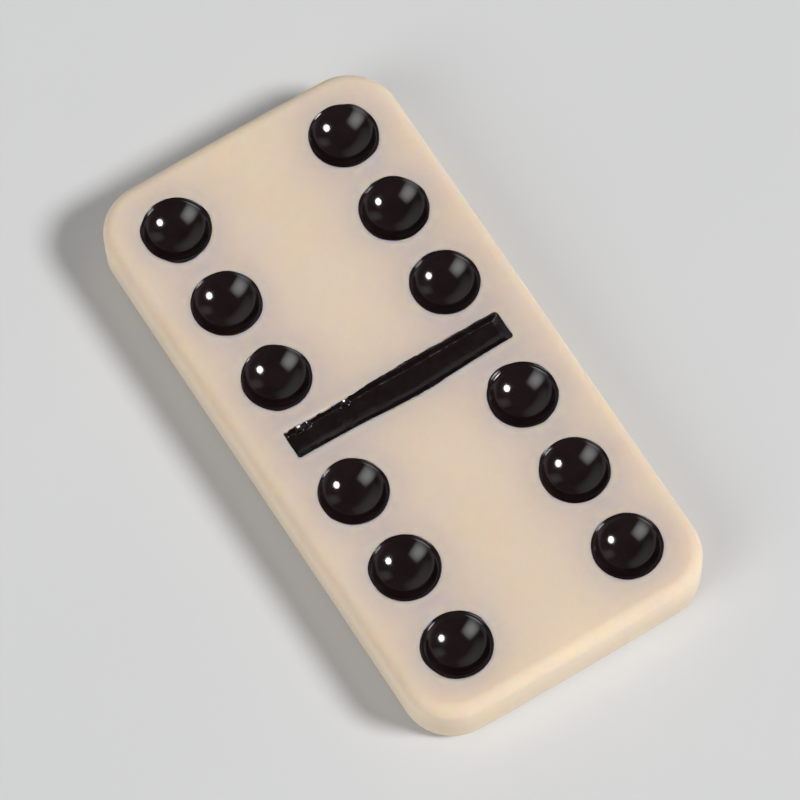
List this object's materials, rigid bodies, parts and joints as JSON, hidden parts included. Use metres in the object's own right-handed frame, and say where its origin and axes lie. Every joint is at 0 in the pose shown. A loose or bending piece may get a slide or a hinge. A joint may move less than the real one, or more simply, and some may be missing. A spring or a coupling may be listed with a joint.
{
  "type": "domino tile",
  "caption": "Flat round-cornered domino tile of cream moulded resin, with gloss black enamel pips in round dimples on both halves and a black enamel divider bar in a groove between them.",
  "frame": {"origin": "under the middle of the tile, on the surface that its back lies on", "axes": "+Z out of the pipped face, +Y along the tile towards its upper half, +X across the tile to the right"},
  "size_m": [0.025, 0.05, 0.005],
  "materials": {
    "resin": "satin",
    "pip_enamel": "gloss",
    "bar_enamel": "satin"
  },
  "bodies": {
    "root": {"tile_block": "resin", "divider_bar": "bar_enamel", "pip_upper_left_inner": "pip_enamel", "pip_upper_left_middle": "pip_enamel", "pip_upper_left_outer": "pip_enamel", "pip_upper_right_inner": "pip_enamel", "pip_upper_right_middle": "pip_enamel", "pip_upper_right_outer": "pip_enamel", "pip_lower_left_inner": "pip_enamel", "pip_lower_left_middle": "pip_enamel", "pip_lower_left_outer": "pip_enamel", "pip_lower_right_inner": "pip_enamel", "pip_lower_right_middle": "pip_enamel", "pip_lower_right_outer": "pip_enamel"}
  },
  "joints": []
}
